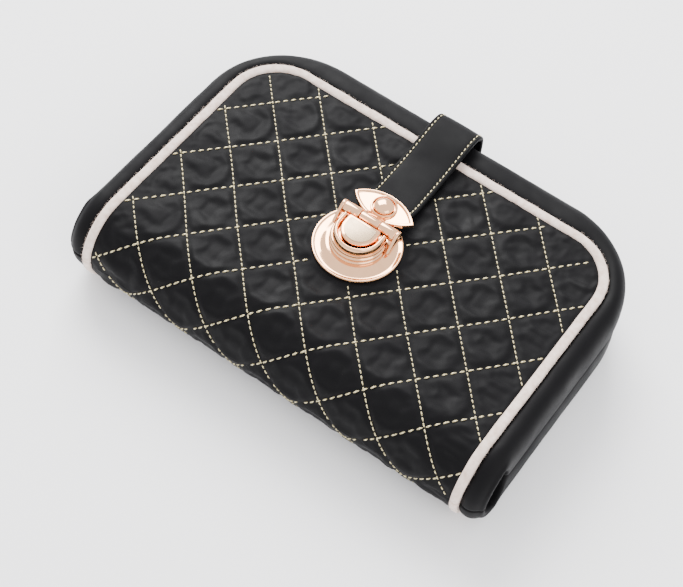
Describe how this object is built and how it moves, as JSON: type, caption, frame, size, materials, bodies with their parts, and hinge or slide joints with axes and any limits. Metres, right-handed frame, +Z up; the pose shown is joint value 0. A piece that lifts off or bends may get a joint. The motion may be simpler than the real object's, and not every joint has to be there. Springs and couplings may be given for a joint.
{
  "type": "jewellery case",
  "caption": "Book-style soft jewellery case with quilted padded covers, suede piping and a strap with a press-release clasp; opens flat on a rounded spine.",
  "frame": {"origin": "middle of the closed case's base, on the surface it lies on", "axes": "+Z up through the closed case, +X along the spine, +Y from the spine to the opening edge where the strap is"},
  "size_m": [0.18, 0.1264, 0.0481],
  "materials": {
    "black_satin": "soft low sheen, quilted with pale gold thread",
    "strap_satin": "soft low sheen, topstitched with pale gold thread",
    "suede_piping": "napped suede with a raw fuzzy edge",
    "beige_lining": "brushed microsuede",
    "board": "plain grey-brown board",
    "elastic": "ribbed elastic",
    "zip_tape": "woven tape",
    "rose_gold": "polished pale rose gold plating",
    "brushed_gold": "fine brushed matte",
    "steel": "plain"
  },
  "bodies": {
    "back": {"back_quilt": "black_satin", "back_piping": "suede_piping", "back_border": "black_satin", "back_board": "board", "back_lining": "beige_lining", "strap_anchor": "strap_satin", "ring_loops": "elastic", "necklace_rail": "beige_lining", "snap_studs": "rose_gold", "necklace_pocket": "beige_lining"},
    "spine": {"spine_quilt": "black_satin", "spine_piping": "suede_piping", "spine_border": "black_satin", "spine_lining": "beige_lining"},
    "front": {"front_quilt": "black_satin", "front_piping": "suede_piping", "front_border": "black_satin", "front_board": "board", "front_lining": "beige_lining", "lock_disc": "rose_gold", "lock_body": "rose_gold", "lock_rim": "rose_gold", "lock_spring": "steel", "lock_backing": "steel", "zip_pocket": "beige_lining", "zip_tape": "zip_tape", "zip_teeth": "rose_gold", "zip_stops": "rose_gold"},
    "strap_root": {"strap_riser": "strap_satin"},
    "strap": {"strap_band": "strap_satin", "latch_plate": "rose_gold", "latch_rivet": "rose_gold"},
    "hasp": {"hasp": "rose_gold", "hasp_pin": "rose_gold"},
    "button": {"lock_button": "rose_gold", "button_face": "brushed_gold"},
    "ring_roll": {"ring_roll": "beige_lining"},
    "tab_left": {"necklace_tab_left": "beige_lining", "snap_cap_left": "rose_gold"},
    "tab_middle": {"necklace_tab_middle": "beige_lining", "snap_cap_middle": "rose_gold"},
    "tab_right": {"necklace_tab_right": "beige_lining", "snap_cap_right": "rose_gold"},
    "slider": {"zip_slider": "rose_gold"},
    "pull": {"zip_pull": "rose_gold"},
    "earring_flap": {"earring_flap": "beige_lining"}
  },
  "joints": [
    {"name": "spine_fold", "type": "hinge", "parent": "back", "child": "spine", "pos_m": [0, -0.05912, 0.00408], "axis": [1, 0, 0], "range_deg": [0, 84]},
    {"name": "case_open", "type": "hinge", "parent": "spine", "child": "front", "pos_m": [0, -0.05912, 0.03392], "axis": [1, 0, 0], "range_deg": [0, 84], "deforming": ["strap_band", "latch_plate", "latch_rivet", "hasp", "hasp_pin"]},
    {"name": "strap_fold", "type": "hinge", "parent": "back", "child": "strap_root", "pos_m": [0, 0.0632, 0.0002], "axis": [-1, 0, 0], "range_deg": [0, 84]},
    {"name": "strap_open", "type": "hinge", "parent": "strap_root", "child": "strap", "pos_m": [0, 0.0632, 0.0401], "axis": [-1, 0, 0], "range_deg": [0, 84]},
    {"name": "hasp_swing", "type": "hinge", "parent": "strap", "child": "hasp", "pos_m": [0, -0.0004, 0.0451], "axis": [-1, 0, 0], "range_deg": [0, 75]},
    {"name": "button_press", "type": "slide", "parent": "front", "child": "button", "axis": [0, 0, -1], "range_m": [0, 0.0012], "stiffness_N_per_m": 300, "springref_m": -0.001, "deforming": ["lock_spring"]},
    {"name": "roll_slide", "type": "slide", "parent": "back", "child": "ring_roll", "axis": [1, 0, 0], "range_m": [0, 0.014]},
    {"name": "zip_slide", "type": "slide", "parent": "front", "child": "slider", "axis": [-1, 0, 0], "range_m": [0, 0.118]},
    {"name": "pull_swing", "type": "hinge", "parent": "slider", "child": "pull", "pos_m": [0.06, 0.0148, 0.0212], "axis": [0, -1, 0], "range_deg": [0, 85]},
    {"name": "flap_swing", "type": "hinge", "parent": "front", "child": "earring_flap", "pos_m": [0, 0.0495, 0.0303], "axis": [1, 0, 0], "range_deg": [0, 32]},
    {"name": "tab_left_lift", "type": "hinge", "parent": "back", "child": "tab_left", "pos_m": [0, 0.04695, 0.01205], "axis": [-1, 0, 0], "range_deg": [0, 80]},
    {"name": "tab_middle_lift", "type": "hinge", "parent": "back", "child": "tab_middle", "pos_m": [0, 0.04695, 0.01205], "axis": [-1, 0, 0], "range_deg": [0, 80]},
    {"name": "tab_right_lift", "type": "hinge", "parent": "back", "child": "tab_right", "pos_m": [0, 0.04695, 0.01205], "axis": [-1, 0, 0], "range_deg": [0, 80]}
  ],
  "couplings": [
    {"joint": "spine_fold", "follows": "case_open", "ratio": 1},
    {"joint": "strap_fold", "follows": "strap_open", "ratio": 1}
  ]
}
